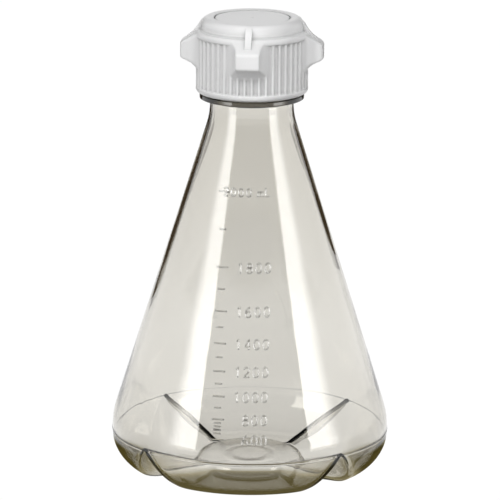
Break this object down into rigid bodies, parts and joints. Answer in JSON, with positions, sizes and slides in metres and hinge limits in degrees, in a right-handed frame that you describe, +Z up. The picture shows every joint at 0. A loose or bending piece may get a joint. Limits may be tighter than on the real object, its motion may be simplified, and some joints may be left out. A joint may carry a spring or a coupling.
{
  "type": "baffled shake flask",
  "caption": "Clear conical shake flask with a baffled, pushed-up floor and a white lugged screw closure with a filter vent.",
  "frame": {"origin": "centre of the foot, on the table", "axes": "+Z up along the flask's axis, -Y towards the graduated side, closure lugs along X and Y"},
  "size_m": [0.1624, 0.1624, 0.2696],
  "materials": {
    "clear_plastic": "clear blow-moulded copolyester with a faint olive tint",
    "white_plastic": "satin injection-moulded white polypropylene",
    "vent_plastic": "natural polypropylene",
    "membrane": "matt white filter membrane",
    "silicone": "translucent grey silicone rubber"
  },
  "bodies": {
    "flask": {"flask_body": "clear_plastic"},
    "gasket": {"sealing_gasket": "silicone"},
    "vent": {"vent_membrane": "membrane", "membrane_backing": "vent_plastic", "membrane_retainer": "vent_plastic"},
    "closure": {"closure_shell": "white_plastic", "vent_cover": "white_plastic"}
  },
  "joints": [
    {"name": "closure_lift_off", "type": "slide", "parent": "flask", "child": "gasket", "axis": [0, 0, 1], "range_m": [0, 0.06]},
    {"name": "closure_rise", "type": "slide", "parent": "gasket", "child": "vent", "axis": [0, 0, 1], "range_m": [0, 0.0106]},
    {"name": "closure_turn", "type": "hinge", "parent": "vent", "child": "closure", "pos_m": [0, 0, 0.25], "axis": [0, 0, 1], "range_deg": [0, 540]}
  ],
  "couplings": [
    {"joint": "closure_rise", "follows": "closure_turn", "m_per_rad": 0.0011141}
  ]
}
